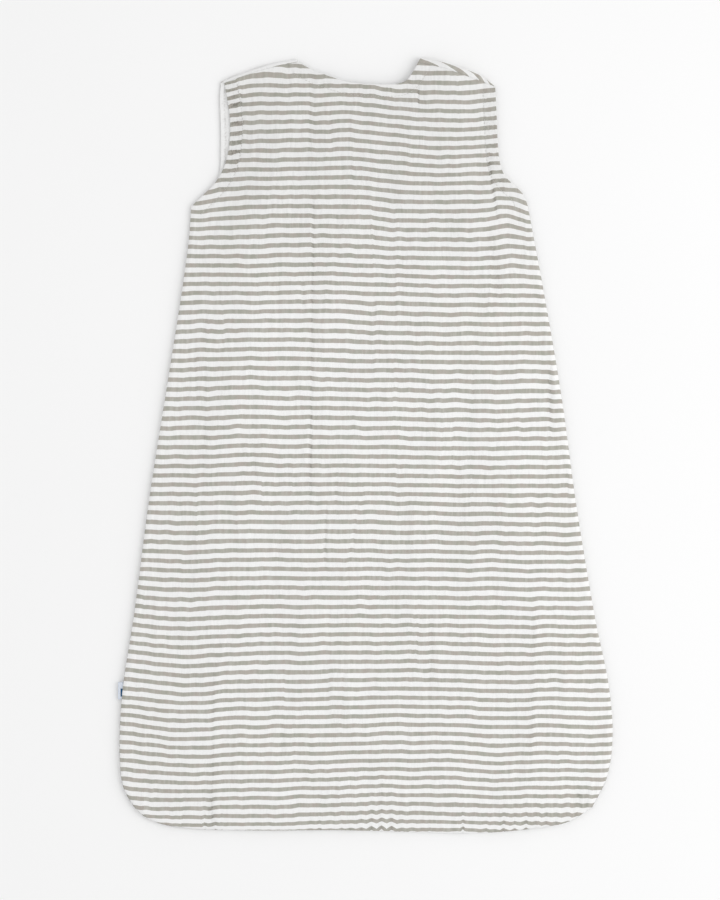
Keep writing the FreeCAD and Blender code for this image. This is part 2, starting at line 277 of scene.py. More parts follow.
# Longer folds: from x, y to x, y, lift, half width, step of the stripes across it, and painted shade along
# the fold.
FOLDS = [
    (-156, 115, -157, -35, -0.3, 2.2, 0.35, 0.15), (-144, -195, -149, -375, 0.4, 6, -0.35, 0.08),
    (-147.5, -230, -149.5, -375, -0.3, 1.2, -0.25, 0.2), (-48, 250, -51, -55, -0.3, 1.4, 0.3, 0.34),
    (182, -25, 171, -305, 0.4, 6, -0.35, 0.06), (174, -160, 169, -340, 0.3, 2, -0.25, 0.1),
    (188, 75, 190, 5, -0.5, 1.8, 0.8, 0.35), (127.5, 285, 136, 228, -0.5, 1.6, -0.9, 0.5),
    (128, 215, 138, 145, -0.4, 5, 0.5, 0.2), (-172, 155, -72, 154, -0.35, 1.4, 0, 0.08),
    (28, 180, 84, 205, -0.3, 1.4, 0, 0.08), (57, 356, 57, 341, -0.6, 0.9, 0.9, 0.65),
    (-120.5, 356, -120.5, 338, -0.5, 0.8, 0.9, 0.5), (-49, 372, -48, 300, -0.25, 2, 0.6, 0.1),
    (-228, -250, -182, -330, -0.2, 3, 0.3, 0.06), (218, -345, 219, -362, -0.5, 2, 0.3, 0.45),
    (-150, -352, -152, -392, -0.4, 3, -0.5, 0.2), (14, 150, 13, 60, 0.2, 1.8, -0.5, 0.05),
    (34, 240, 35, 120, 0.2, 1.6, -0.5, 0.05), (-10, 330, -8, 250, 0.2, 2, 0.5, 0.05),
    (-166, 94, -165, 46, -0.3, 1.4, -0.45, 0.15), (-51.5, 350, -52, 300, -0.3, 1.3, 0.3, 0.1),
    (-31, 345, -30, 295, -0.2, 1.6, -0.4, 0.06),
]
# Short gathers on the hem seam: x, half width, and how far they pull the stripes up.
HEM_SPIKES = [(101.5, 1.2, 4.2), (96, 2.4, 1), (142, 1.6, 2.2), (125, 1.5, 1.2), (-157, 1.5, 2.8),
              (-146.5, 1.8, 1.6), (-140, 1.4, 1.4), (-42, 1.6, 1.4), (68, 1.4, 1), (153, 1.5, 1.4),
              (165, 1.5, 2), (169, 1.2, 1.2), (178, 1.4, 1.6), (208, 1.8, 1.2), (-20, 1.4, 1.2)]
# Painted shade on each spike, for each mm it pulls the stripes.
SPIKE_SHADE = 0.14
SPIKE_REACH = 13
FOLD_ENDS, FOLD_PULL = 25, 22
# The small creases: how many, where, and the ranges or spreads of what they are drawn from, and how much
# shade is painted into their valleys.
CREASES = 130
CREASE_X, CREASE_Y = (-240, 240), (-385, 375)
CREASE_HALF_LENGTH, CREASE_WIDTH, CREASE_TILT = (9, 45), (1.1, 2.4), 0.05
CREASE_STEP, CREASE_HUMP, CREASE_LIFT = 0.24, 0.28, 0.34
CREASE_SHADE, CREASE_PULL = 0.16, 16
# Past this many mm across, or half lengths along, a crease does nothing.
CREASE_NEAR_X, CREASE_NEAR_Y = 60, 2.5
# How the stripes wander over the bag: seed, waves across, waves along, and size.
WANDERS = ((23, 70, 150, 0.30), (29, 26, 60, 0.22))
# The hem's even gathers: x, reach and size of two stronger stretches, then the rest's size.
GATHER_STRONG = (20, 22, 2.2)
GATHER_SOME = (175, 45, 0.8)
GATHER_REST = 0.25
GATHER_PITCH, GATHER_PHASE, GATHER_REACH = 10.3, 0.05, 20
# Painted shade on the gathers, the gathers' lift, and how far from the seam that lift grows.
GATHER_SHADE, GATHER_LIFT, GATHER_LIFT_UP = 0.30, 0.15, 3
# Where they draw the stripes up as a whole: x, reach across, size and reach along.
GATHER_DRAW = (20, 30, 1.6, 45)
# The puckers of the topstitched edges, which fade out towards the underarm.
PUCKER_WAVES, PUCKER_SPACING = (6, 9), 0.85
PUCKER_FROM_Y, PUCKER_FADE = 246, 26
PUCKER_EDGE, PUCKER_PAST, PUCKER_END, PUCKER_DEEPEST = 3, 4, 6, 1.5
ARMHOLE_PUCKERS, NECK_PUCKERS, FRONT_PUCKERS = 1, 0.25, 0.3
# Painted shade: in the puckers' hollows, and evenly over the band inside the stitch line.
PUCKER_SLIP, PUCKER_LIFT, PUCKER_SHADE = 0.4, 0.2, 0.22
BAND_SHADE, BAND_EDGE = 0.10, 1.6
# The band along the left armhole is also drawn in: x and reach, y and fade, slip and painted shade.
DRAWN_X, DRAWN_Y = (-131, 22), (262, 25)
DRAWN_SLIP, DRAWN_SHADE, DRAWN_AT_STITCH = 2.2, 0.08, 0.4
# The groove of the seam beside the front lining's armhole, with painted shade along it.
LINING_GROOVE, LINING_GROOVE_HALF = 4.6, 0.8
LINING_GROOVE_DEPTH, LINING_GROOVE_SHADE = 0.5, 0.35


def creases(p):
    """Lift, slip and painted shade of the small creases along the bag, which muslin takes in the wash; the
    shade is painted into their valleys.
    """
    rng = np.random.default_rng(SEEDS["creases"])
    total = np.zeros((len(p), 3))
    for _ in range(CREASES):
        x, y = rng.uniform(*CREASE_X), rng.uniform(*CREASE_Y)
        half_length = rng.uniform(*CREASE_HALF_LENGTH)
        tilt, width = rng.normal(0, CREASE_TILT), rng.uniform(*CREASE_WIDTH)
        step, hump, lift = (rng.normal(0, size) for size in (CREASE_STEP, CREASE_HUMP, CREASE_LIFT))
        near = (np.abs(p[:, 1] - y) < CREASE_NEAR_Y * half_length) & (np.abs(p[:, 0] - x) < CREASE_NEAR_X)
        along_it = y - p[near, 1]
        across = p[near, 0] - x - tilt * along_it
        window, narrow = bell(along_it / half_length), bell(across / width)
        pull = np.exp(-np.abs(across) / CREASE_PULL)
        slip = window * (step * np.tanh(across / width) * pull + hump * narrow)
        dark = CREASE_SHADE * max(-lift, 0)
        total[near] += np.column_stack([window * narrow * lift, slip, window * narrow * dark])
    return total


def folds(p):
    """Lift, slip and painted shade of the longer folds."""
    total = np.zeros((len(p), 3))
    for x0, y0, x1, y1, lift, width, step, dark in FOLDS:
        run = np.array([x1 - x0, y1 - y0], float)
        length = np.linalg.norm(run)
        run /= length
        d = p - (x0, y0)
        at, across = d @ run, d @ np.array([-run[1], run[0]])
        window = soft_step(at / FOLD_ENDS + 0.5) * soft_step((length - at) / FOLD_ENDS + 0.5)
        narrow = window * bell(across / width)
        slip = step * window * np.tanh(across / width) * np.exp(-np.abs(across) / FOLD_PULL)
        total += np.column_stack([narrow * lift, slip, narrow * dark])
    return total


def hem_gathers(p):
    """Lift, slip and painted shade where the hem seam gathers the cloth."""
    x, up = p[:, 0], nearest(p, HEM_LINE)[0]
    strong, some = (size * bell((x - at) / reach) for at, reach, size in (GATHER_STRONG, GATHER_SOME))
    size = strong + some + GATHER_REST
    wave = np.abs((x / GATHER_PITCH + GATHER_PHASE) % 1 - 0.5) * 4 - 1
    zigzag = size * wave * np.exp(-up / GATHER_REACH)
    draw_at, draw_reach, draw, draw_up = GATHER_DRAW
    slip = -zigzag - draw * bell((x - draw_at) / draw_reach) * np.exp(-up / draw_up)
    dark = GATHER_SHADE * np.clip(zigzag, 0, 1)
    for at, width, pull in HEM_SPIKES:
        spike = pull * bell((x - at) / width) * np.exp(-up / SPIKE_REACH)
        slip, dark = slip - spike, dark + SPIKE_SHADE * spike
    return np.column_stack([GATHER_LIFT * zigzag * soft_step(up / GATHER_LIFT_UP), slip, dark])


def edge_gathers(p, line, strength):
    """Lift, slip and painted shade of the topstitching's puckers along an armhole or the neck, and painted
    shade over the band inside the stitching.
    """
    mouth, index = nearest(p, line)
    on_edge = np.column_stack([index * PUCKER_SPACING, np.zeros(len(p))])
    above = soft_step((p[:, 1] - PUCKER_FROM_Y) / PUCKER_FADE)
    band = soft_step(mouth / PUCKER_EDGE) * soft_step((STITCH_IN + PUCKER_PAST - mouth) / PUCKER_END) * above
    ruck = strength * ripple(on_edge, SEEDS["puckers"], *PUCKER_WAVES) * band
    inside = soft_step((STITCH_IN - mouth) / BAND_EDGE + 0.5) * above
    drawn = bell((p[:, 0] - DRAWN_X[0]) / DRAWN_X[1]) * soft_step((p[:, 1] - DRAWN_Y[0]) / DRAWN_Y[1])
    toward_edge = DRAWN_AT_STITCH + (1 - DRAWN_AT_STITCH) * (1 - mouth / STITCH_IN)
    slip = PUCKER_SLIP * ruck + strength * inside * drawn * DRAWN_SLIP * toward_edge
    dark = PUCKER_SHADE * np.clip(-ruck, 0, PUCKER_DEEPEST)
    dark = dark + strength * inside * (BAND_SHADE + DRAWN_SHADE * drawn)
    return np.column_stack([PUCKER_LIFT * ruck, slip, dark])


def settled(p):
    """The simulated cloth's lift at each point."""
    place_in_grid = np.clip((p - SETTLE_LOW) / SETTLE_STEP, 0, np.array(SETTLED.shape[::-1]) - 1 - TINY)
    (col, row), (u, v) = place_in_grid.astype(int).T, (place_in_grid % 1).T
    low = SETTLED[row, col] * (1 - u) + SETTLED[row, col + 1] * u
    high = SETTLED[row + 1, col] * (1 - u) + SETTLED[row + 1, col + 1] * u
    return low * (1 - v) + high * v


def lie_of_back(p):
    """Lift, slip and painted shade of the whole back panel at each point."""
    total = creases(p) + folds(p) + hem_gathers(p)
    total = total + edge_gathers(p, ARMHOLES, ARMHOLE_PUCKERS) + edge_gathers(p, NECK, NECK_PUCKERS)
    total[:, 1] += sum(size * ripple(p, seed, *waves) for seed, *waves, size in WANDERS)
    total[:, 0] += settled(p)
    for x, y, reach_x, reach_y, sag in DRAGS:
        total[:, 1] += sag * bell((p[:, 0] - x) / reach_x) * bell((p[:, 1] - y) / reach_y)
    return total


def crinkled(plan, seed):
    """The gauze's fine puckers: rounded ridges with narrow valleys."""
    return sum(size * (np.abs(ripple(plan, seed + k, *waves)) - CRINKLE_MEAN)
               for k, (size, *waves) in enumerate(CRINKLES))


def back_height(plan):
    """Height of the back panel's outer face over each point."""
    lines = (SIDES, HEM_LINE, SHOULDERS, ARMHOLES, NECK, PRESSED)
    side, hem, shoulder, armhole, neck, pressed = (nearest(plan, line)[0] for line in lines)
    seam, mouth = np.minimum(side, hem), np.minimum(armhole, neck)
    full = soft_step(side / SIDE_RISE) * soft_step(hem / HEM_RISE)
    top = EDGE_Z + (LOFT_Z - EDGE_Z + LOFT_WAVER * ripple(plan, SEEDS["loft"], *LOFT_WAVES)) * full
    for distance, low_z, rise in ((armhole, ARMHOLE_Z, ARMHOLE_RISE), (neck, NECK_Z, NECK_RISE),
                                  (pressed, PRESSED_Z, PRESSED_RISE)):
        top -= np.maximum(top - low_z, 0) * (1 - soft_step(distance / rise))
    seam_z = SEAM_Z + ZIP_LIFT * bell(plan[:, 0] / ZIP_LIFT_REACH)
    base = seam_z + (top - seam_z) * rounded(seam, EDGE_ROLL) * rounded(shoulder, SHOULDER_ROLL)
    inner = soft_step(np.minimum(seam, mouth) / CRINKLE_EDGE)
    crinkle = crinkled(plan, SEEDS["crinkle"]) * (CRINKLE_AT_EDGE + (1 - CRINKLE_AT_EDGE) * inner)
    groove = STITCH_GROOVE * bell((mouth - STITCH_IN) / GROOVE_HALF)
    return base - groove + crinkle - MOUTH_DROP * (1 - rounded(mouth, MOUTH_ROLL))


def back_lining_height(plan):
    """Height of the back lining's lower face."""
    return back_height(plan) - LINING_GAP - LINING_THICK


def tunnel(plan):
    """The front's rise beside the zip, from 0 on the floor to 1; the hem closes its lower end."""
    ramp = soft_step((TUNNEL_FOOT - np.abs(plan[:, 0])) / (TUNNEL_FOOT - TUNNEL_CROWN))
    return ramp * soft_step((plan[:, 1] - TUNNEL_END) / TUNNEL_CLOSES)


def front_height(plan):
    """Height of the front's lower face: on the floor, up a ramp to the zip, and up to the seams."""
    seam = np.minimum(nearest(plan, SEAMS)[0], nearest(plan, SHOULDERS)[0])
    ramp = tunnel(plan)
    edge = (FRONT_SEAM_Z - FRONT_Z) * (1 - rounded(seam, FRONT_ROLL))
    return FRONT_Z + TUNNEL_RISE * ramp + edge + FRONT_CRINKLE * crinkled(plan, SEEDS["front"]) * (1 - ramp)


def front_lining_height(plan):
    """Height of the front lining's upper face, which clears the zip tape beside the zip."""
    return front_height(plan) + LINING_GAP + TAPE_ROOM * tunnel(plan)


def lie_of_front_lining(p):
    """Lift, slip and painted shade of a front lining: its armhole's puckers and the groove of its seam."""
    groove = bell((nearest(p, FRONT_ARMHOLES)[0] - LINING_GROOVE) / LINING_GROOVE_HALF)
    total = edge_gathers(p, FRONT_ARMHOLES, FRONT_PUCKERS)
    total[:, 0] -= LINING_GROOVE_DEPTH * groove
    total[:, 2] += LINING_GROOVE_SHADE * groove
    return total


def lipped(plan, z, drop):
    """The grid with a lip turned in along its four sides, and a mask of the points that exist."""
    rows, cols = plan.shape[:2]
    k = len(LIP_IN)
    full = np.zeros((rows + 2 * k, cols + 2 * k, 3))
    real = np.zeros(full.shape[:2], bool)
    full[k:-k, k:-k, :2], full[k:-k, k:-k, 2] = plan, z
    real[k:-k, k:-k] = True
    for turned in (False, True):
        points, up, out, mask = (a.swapaxes(0, 1) if turned else a for a in (plan, z, full, real))
        for edge, toward, first, step in ((0, LIP_TOWARD, k - 1, -1), (-1, -1 - LIP_TOWARD, len(up) + k, 1)):
            line = points[edge]
            t = np.gradient(line, axis=0)
            t /= lengths(t) + TINY
            inward = np.column_stack([t[:, 1], -t[:, 0]])
            inward *= np.sign(((points[toward] - line) * inward).sum(1).mean())
            for i, (reach, fall) in enumerate(zip(LIP_IN, LIP_DROP)):
                row = first + step * i
                out[row, k:-k] = np.column_stack([line + inward * reach, up[edge] - drop * fall])
                mask[row, k:-k] = True
    return full, real


def grid_faces(real):
    """Quads between neighbouring points that exist."""
    number = np.cumsum(real.ravel()).reshape(real.shape) - 1
    whole = real[:-1, :-1] & real[:-1, 1:] & real[1:, 1:] & real[1:, :-1]
    quads = np.stack([number[:-1, :-1], number[:-1, 1:], number[1:, 1:], number[1:, :-1]], -1)
    return quads[whole]


def make_piece(name, verts, faces, material=None, cloth=None):
    """A smooth mesh object from points in mm, with the cloth's coordinates and shade as an attribute."""
    mesh = bpy.data.meshes.new(name)
    mesh.from_pydata((np.asarray(verts) * MM).tolist(), [], np.asarray(faces).tolist())
    mesh.polygons.foreach_set("use_smooth", [True] * len(mesh.polygons))
    if cloth is None:
        cloth = np.column_stack([np.asarray(verts)[:, :2], np.zeros(len(verts))])
    attribute = mesh.attributes.new("cloth", "FLOAT_VECTOR", "POINT")
    attribute.data.foreach_set("vector", cloth.astype(np.float32).ravel())
    if material:
        mesh.materials.append(material)
    mesh.update()
    piece = bpy.data.objects.new(name, mesh)
    bpy.context.scene.collection.objects.link(piece)
    return piece


def make_panel(name, plan, height, material, up, drop=1, lie=None):
    """A panel of cloth from a grid of points, with lips at its edges; up says which way its outside faces."""
    flat = plan.reshape(-1, 2)
    z = height(flat)
    marks = np.zeros((len(flat), 3)) if lie is None else lie(flat)
    z = (z + marks[:, 0]).reshape(plan.shape[:2])
    full, real = lipped(plan, z, drop)
    k = len(LIP_IN)
    padded = np.pad(marks.reshape(*plan.shape[:2], 3), ((k, k), (k, k), (0, 0)), mode="edge")[real]
    verts = full[real]
    cloth = np.column_stack([verts[:, 0], verts[:, 1] + padded[:, 1], padded[:, 2]])
    faces = grid_faces(real)
    a, b, c = verts[faces[0]][:3]
    counter = np.cross(b - a, c - a)[2] > 0
    return make_piece(name, verts, faces if counter == up else faces[:, ::-1], material, cloth)


def plate(name, grid, thickness, material):
    """A thin closed solid with round edges around a grid of points (rows, columns, 3)."""
    rows, cols = grid.shape[:2]
    normal = np.cross(np.gradient(grid, axis=1), np.gradient(grid, axis=0))
    normal /= np.linalg.norm(normal, axis=2)[..., None] + TINY
    ring = np.pad(grid, ((1, 1), (1, 1), (0, 0)), mode="edge")
    pairs = ((0, 2), (-1, -3))
    for edge, inner in (*pairs, *((np.s_[:, a], np.s_[:, b]) for a, b in pairs)):
        out = ring[edge] - ring[inner]
        ring[edge] += out / (lengths(out) + TINY) * thickness / 2
    verts, faces = [], []
    for sign in (1, -1):
        side = ring.copy()
        side[1:-1, 1:-1] += sign * normal * thickness / 2
        quads = grid_faces(np.ones((rows + 2, cols + 2), bool)) + len(verts) * (rows + 2) * (cols + 2)
        verts.append(side.reshape(-1, 3))
        faces.append(quads if sign > 0 else quads[:, ::-1])
    return closed(make_piece(name, np.vstack(verts), np.vstack(faces), material))


def closed(piece, ends=0):
    """Join points that lie on one another, or fill a tube's ends, and turn the faces outwards."""
    mesh = bmesh.new()
    mesh.from_mesh(piece.data)
    if ends:
        bmesh.ops.holes_fill(mesh, edges=mesh.edges, sides=ends)
    else:
        bmesh.ops.remove_doubles(mesh, verts=mesh.verts, dist=WELD_REACH)
    bmesh.ops.recalc_face_normals(mesh, faces=mesh.faces)
    mesh.to_mesh(piece.data)
    mesh.free()
    return piece


# ---- cloth simulation
SETTLE_STEP = 8
SETTLE_LOW, SETTLE_HIGH = (-260, -396), (260, 396)
SETTLE_FRAMES = 24
SPARE_CLOTH = 0.008
SOFT_HOLD = 0.18
HELD_BAND = 12
START_LIFT = 0.1
START_WAVES = (40, 200)
POINT_MASS = 0.02
STRETCH = 15
BEND = 2
SETTLED_SHARE = 0.4
SETTLED_LIMIT = 0.9


def settled_grid():
    """Lifts in mm on an even grid: a sheet with some cloth to spare settles between the bag's seams."""
    x, y = (np.arange(low, high + 1, SETTLE_STEP) for low, high in zip(SETTLE_LOW, SETTLE_HIGH))
    plan = np.dstack(np.meshgrid(x, y))
    flat = plan.reshape(-1, 2)
    edge = nearest(flat, np.vstack([SEAMS, SHOULDERS, ARMHOLES, NECK]))[0]
    start = START_LIFT * ripple(flat, SEEDS["settle"], *START_WAVES) * soft_step(edge / HELD_BAND - 1)
    faces = grid_faces(np.ones(plan.shape[:2], bool))
    sheet = make_piece("settling_sheet", np.column_stack([flat, start]), faces)
    held = sheet.vertex_groups.new(name="held")
    for chosen, weight in ((edge < HELD_BAND, 1), (edge >= HELD_BAND, SOFT_HOLD)):
        held.add(np.flatnonzero(chosen).tolist(), weight, "REPLACE")
    cloth = sheet.modifiers.new("cloth", "CLOTH")
    cloth.settings.vertex_group_mass = held.name
    cloth.settings.shrink_min = -SPARE_CLOTH
    cloth.settings.mass = POINT_MASS
    cloth.settings.tension_stiffness = cloth.settings.compression_stiffness = STRETCH
    cloth.settings.bending_stiffness = BEND
    cloth.settings.effector_weights.gravity = 0
    cloth.collision_settings.use_collision = False
    for number in range(1, SETTLE_FRAMES + 1):
        bpy.context.scene.frame_set(number)
    moved = np.empty(len(flat) * 3)
    sheet.evaluated_get(bpy.context.evaluated_depsgraph_get()).data.vertices.foreach_get("co", moved)
    bpy.data.objects.remove(sheet)
    bpy.context.scene.frame_set(1)
    lift = moved.reshape(*plan.shape[:2], 3)[..., 2] / MM
    smooth = np.pad(lift, ((2, 2), (0, 0)), mode="edge")
    smooth = (smooth[:-4] + 2 * smooth[1:-3] + 3 * smooth[2:-2] + 2 * smooth[3:-1] + smooth[4:]) / 9
    return np.clip(SETTLED_SHARE * smooth, -SETTLED_LIMIT, SETTLED_LIMIT)


SETTLED = settled_grid()


# ---- materials
def new_material(name, rough=0.9):
    material = bpy.data.materials.new(name)
    material.use_nodes = True
    shader = material.node_tree.nodes["Principled BSDF"]
    shader.inputs["Roughness"].default_value = rough
    shader.inputs["Specular IOR Level"].default_value = 0.2
    return material, material.node_tree, shader


def linked(tree, socket, value):
    if isinstance(value, (int, float, tuple)):
        socket.default_value = value
    else:
        tree.links.new(value, socket)


def math_node(tree, operation, *values):
    node = tree.nodes.new("ShaderNodeMath")
    node.operation = operation
    for socket, value in zip(node.inputs, values):
        linked(tree, socket, value)
    return node.outputs[0]


def noise(tree, vector, x, y, z=1, detail=2):
    mapping = tree.nodes.new("ShaderNodeMapping")
    mapping.inputs["Scale"].default_value = (x, y, z)
    tree.links.new(vector, mapping.inputs["Vector"])
    node = tree.nodes.new("ShaderNodeTexNoise")
    node.inputs["Scale"].default_value = 1
    node.inputs["Detail"].default_value = detail
    tree.links.new(mapping.outputs[0], node.inputs["Vector"])
    return node.outputs["Fac"]


def ranged(tree, value, low, high, out_low=0, out_high=1):
    node = tree.nodes.new("ShaderNodeMapRange")
    node.interpolation_type = "SMOOTHSTEP"
    for socket, number in zip(("From Min", "From Max", "To Min", "To Max"), (low, high, out_low, out_high)):
        node.inputs[socket].default_value = number
    tree.links.new(value, node.inputs["Value"])
    return node.outputs[0]


def mixed(tree, factor, a, b):
    node = tree.nodes.new("ShaderNodeMix")
    node.data_type = "RGBA"
    for socket, value in ((node.inputs[0], factor), (node.inputs[6], a), (node.inputs[7], b)):
        linked(tree, socket, value)
    return node.outputs[2]


def bumped(tree, shader, height, distance):
    node = tree.nodes.new("ShaderNodeBump")
    node.inputs["Distance"].default_value = distance
    tree.links.new(height, node.inputs["Height"])
    tree.links.new(node.outputs[0], shader.inputs["Normal"])


TAUPE_COOL = (0.400, 0.397, 0.346, 1)
TAUPE_WARM = (0.448, 0.411, 0.371, 1)
TAUPE_LIGHT = (0.505, 0.492, 0.448, 1)
WHITE = (0.905, 0.905, 0.90, 1)
WHITE_DIM = (0.892, 0.892, 0.888, 1)
# Painted shade: the dark colour that creases, folds, gathers, puckers, seam grooves and the top of the bag
# are mixed towards.
PAINTED_SHADE = (0.16, 0.15, 0.13, 1)
# Painted shade: the cloth darkens towards the top of the bag, between two heights on the bag, by up to a
# share of the painted shade colour.
TOP_SHADE_SPAN = (90, 330)
TOP_SHADE_SHARE = 0.10
# Where the taupe ends and the white begins, in pitches from the stripe's middle.
STRIPE_EDGE = (0.205, 0.255)
STRIPE_WOBBLE = 0.6
YARN_SPACING = 0.9
YARN_SHARE = 0.12
CLOTH_BUMP = 0.0005
SATIN_BUMP = 0.0001
SCRATCH_BUMP = 0.00003
SHEEN = 0.1
PAPER_WHITE = (0.94, 0.94, 0.94, 1)
PAPER_DIM = (0.92, 0.92, 0.92, 1)


def cloth_coordinates(tree):
    """The cloth's own coordinates in millimetres, and its x, y and shade."""
    source = tree.nodes.new("ShaderNodeAttribute")
    source.attribute_name = "cloth"
    split = tree.nodes.new("ShaderNodeSeparateXYZ")
    tree.links.new(source.outputs["Vector"], split.inputs[0])
    flat = tree.nodes.new("ShaderNodeCombineXYZ")
    for i in (0, 1):
        tree.links.new(split.outputs[i], flat.inputs[i])
    return flat.outputs[0], split.outputs


def yarns(tree, parts, spacing):
    """A plain weave's height: yarns across and along, a little apart as gauze is."""
    waves = []
    for part in parts[:2]:
        turn = math_node(tree, "MULTIPLY", part, 2 * math.pi / spacing)
        waves.append(math_node(tree, "ABSOLUTE", math_node(tree, "SINE", turn)))
    return math_node(tree, "MAXIMUM", *waves)


def gauze(name, striped):
    """Crinkled cotton gauze, with or without the woven stripes."""
    material, tree, shader = new_material(name)
    cloth, parts = cloth_coordinates(tree)
    streak = noise(tree, cloth, 0.30, 0.03, detail=3)
    tone = noise(tree, cloth, 0.07, 0.09)
    pucker = noise(tree, cloth, 0.55, 0.12)
    colour = mixed(tree, ranged(tree, streak, 0.3, 0.6), WHITE_DIM, WHITE)
    shade_weight = 0.5
    if striped:
        wobble = math_node(tree, "SUBTRACT", noise(tree, cloth, 0.22, 0.06, detail=3), 0.5)
        y = math_node(tree, "MULTIPLY_ADD", wobble, STRIPE_WOBBLE, parts[1])
        turn = math_node(tree, "DIVIDE", math_node(tree, "SUBTRACT", y, STRIPE_START), STRIPE_PITCH)
        off = math_node(tree, "ABSOLUTE", math_node(tree, "SUBTRACT", turn, math_node(tree, "ROUND", turn)))
        mask = ranged(tree, off, *STRIPE_EDGE, 1, 0)
        taupe = mixed(tree, ranged(tree, tone, 0.35, 0.65), TAUPE_COOL, TAUPE_WARM)
        taupe = mixed(tree, ranged(tree, streak, 0.35, 0.8), taupe, TAUPE_LIGHT)
        colour = mixed(tree, mask, colour, taupe)
        # Painted shade: the stripes and the white darken towards the top of the bag.
        colour = mixed(tree, ranged(tree, parts[1], *TOP_SHADE_SPAN, 0, TOP_SHADE_SHARE), colour, PAINTED_SHADE)
        shade_weight = math_node(tree, "MULTIPLY_ADD", mask, 0.8, 0.2)
    # Painted shade: the creases', folds', gathers' and puckers' shade, broken into mottles by noise and
    # weighted more on the taupe than on the white, mixes toward the painted shade colour.
    shade_mottle = ranged(tree, noise(tree, cloth, 0.45, 0.45), 0.35, 0.65, 0.4, 1.6)
    shade = math_node(tree, "MULTIPLY", math_node(tree, "MULTIPLY", parts[2], shade_mottle), shade_weight)
    colour = mixed(tree, shade, colour, PAINTED_SHADE)
    tree.links.new(colour, shader.inputs["Base Color"])
    height = math_node(tree, "MULTIPLY_ADD", yarns(tree, parts, YARN_SPACING), YARN_SHARE, pucker)
    bumped(tree, shader, height, CLOTH_BUMP)
    shader.inputs["Sheen Weight"].default_value = SHEEN
    return material


def woven(name, colour, dark, rough, rib):
    """A closely woven tape or satin with fine ribs across it, rib mm apart."""
    material, tree, shader = new_material(name, rough)
    cloth, parts = cloth_coordinates(tree)
    wave = math_node(tree, "SINE", math_node(tree, "MULTIPLY", parts[1], 2 * math.pi / rib))
    fade = ranged(tree, noise(tree, cloth, 0.2, 0.2, detail=3), 0.3, 0.7)
    tree.links.new(mixed(tree, fade, dark, colour), shader.inputs["Base Color"])
    bumped(tree, shader, wave, SATIN_BUMP)
    return material


def moulded(name, colour, dark, rough, metal=0):
    """Plastic or metal with a faint cloudy finish and fine scratches."""
    material, tree, shader = new_material(name, rough)
    where = tree.nodes.new("ShaderNodeTexCoord").outputs["Object"]
    cloud = noise(tree, where, 350, 350, 350, detail=3)
    scratch = noise(tree, where, 6000, 300, 300)
    tree.links.new(mixed(tree, cloud, dark, colour), shader.inputs["Base Color"])
    tree.links.new(ranged(tree, scratch, 0.3, 0.7, rough * 0.75, rough * 1.25), shader.inputs["Roughness"])
    bumped(tree, shader, scratch, SCRATCH_BUMP)
    shader.inputs["Metallic"].default_value = metal
    return material


def paper(name):
    """The matt white ground."""
    material, tree, shader = new_material(name, 0.95)
    where = tree.nodes.new("ShaderNodeTexCoord").outputs["Object"]
    cloud = noise(tree, where, 3, 3, 3)
    tree.links.new(mixed(tree, cloud, PAPER_DIM, PAPER_WHITE), shader.inputs["Base Color"])
    return material


STRIPED = gauze("striped_gauze", True)
LINING = gauze("white_gauze", False)
TAPE = woven("zip_tape", (0.84, 0.84, 0.83, 1), (0.78, 0.78, 0.77, 1), 0.8, 0.8)
COIL = moulded("zip_coil", (0.86, 0.86, 0.84, 1), (0.80, 0.80, 0.78, 1), 0.4)
METAL = moulded("slider_metal", (0.74, 0.74, 0.73, 1), (0.62, 0.62, 0.61, 1), 0.3, 1)
TAB = woven("label_tape", (0.80, 0.85, 0.93, 1), (0.74, 0.80, 0.90, 1), 0.7, 0.7)
NAVY = woven("label_thread", (0.03, 0.12, 0.26, 1), (0.02, 0.08, 0.18, 1), 0.7, 0.5)
SATIN = woven("label_satin", (0.90, 0.90, 0.90, 1), (0.84, 0.84, 0.85, 1), 0.45, 0.5)
THREAD = woven("thread", (0.74, 0.73, 0.70, 1), (0.64, 0.63, 0.60, 1), 0.8, 0.4)


# ---- placing pieces
def place(piece, slot, *nodes):
    """Let a piece ride on the bag in place of its CAD nodes, which are hidden; the slot is not used."""
    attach(piece, "bag")
    if nodes:
        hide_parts(*nodes)
    return piece


def lay(piece, slot, flat, area, under, *nodes, **more):
    """Place a sheet of cloth, as place does."""
    place(piece, slot, *nodes)
    return piece


# ---- back panel
# Columns and rows of each grid, and how far in the linings' edges lie, as a share.
BACK_GRID = (300, 310)
BACK_LINING_GRID = (120, 200)
BACK_LINING_IN = (0.006, 0.004)
FRONT_GRID = (100, 240)
FRONT_LINING_IN = 0.0004
LINING_EDGE_OUT = 1.5
# How far the lips of the back lining and of the fronts turn away from their faces.
BACK_LINING_FALL = 0.2
LIP_FALL = 0.45
# Flat sizes in metres and areas in square metres.
BACK_FLAT, BACK_AREA = (0.53, 0.80), 0.345
FRONT_FLAT, FRONT_AREA = (0.27, 0.80), 0.165


def back_plan(columns, rows, inset_u=0, inset_v=0):
    """The back panel's grid of plan points, from edge to edge or a share of the way in."""
    u = spread(columns, length=480, fine=0.6, reach=16, inset=inset_u)
    v = spread(rows, length=780, fine=0.7, reach=16, inset=inset_v)
    left = path([SIDE_LEFT, ARMHOLE_LEFT], [UNDERARM_AT])
    right = path([SIDE_RIGHT, ARMHOLE_RIGHT], [UNDERARM_AT])
    return patch(left, right, path([HEM]), path([SEAM_LEFT, NECK_BACK, SEAM_RIGHT], NECK_AT), u, v)


def build_back():
    panel = make_panel("back_panel", back_plan(*BACK_GRID), back_height, STRIPED, True, lie=lie_of_back)
    lay(panel, "striped_gauze", BACK_FLAT, BACK_AREA, "back_lining_cloth", "back_outer")
    plan = back_plan(*BACK_LINING_GRID, *BACK_LINING_IN)
    lining = make_panel("back_lining_cloth", plan, back_lining_height, LINING, False, -BACK_LINING_FALL)
    lay(lining, "white_gauze", BACK_FLAT, BACK_AREA, "front_lining_cloth_left", "back_lining")


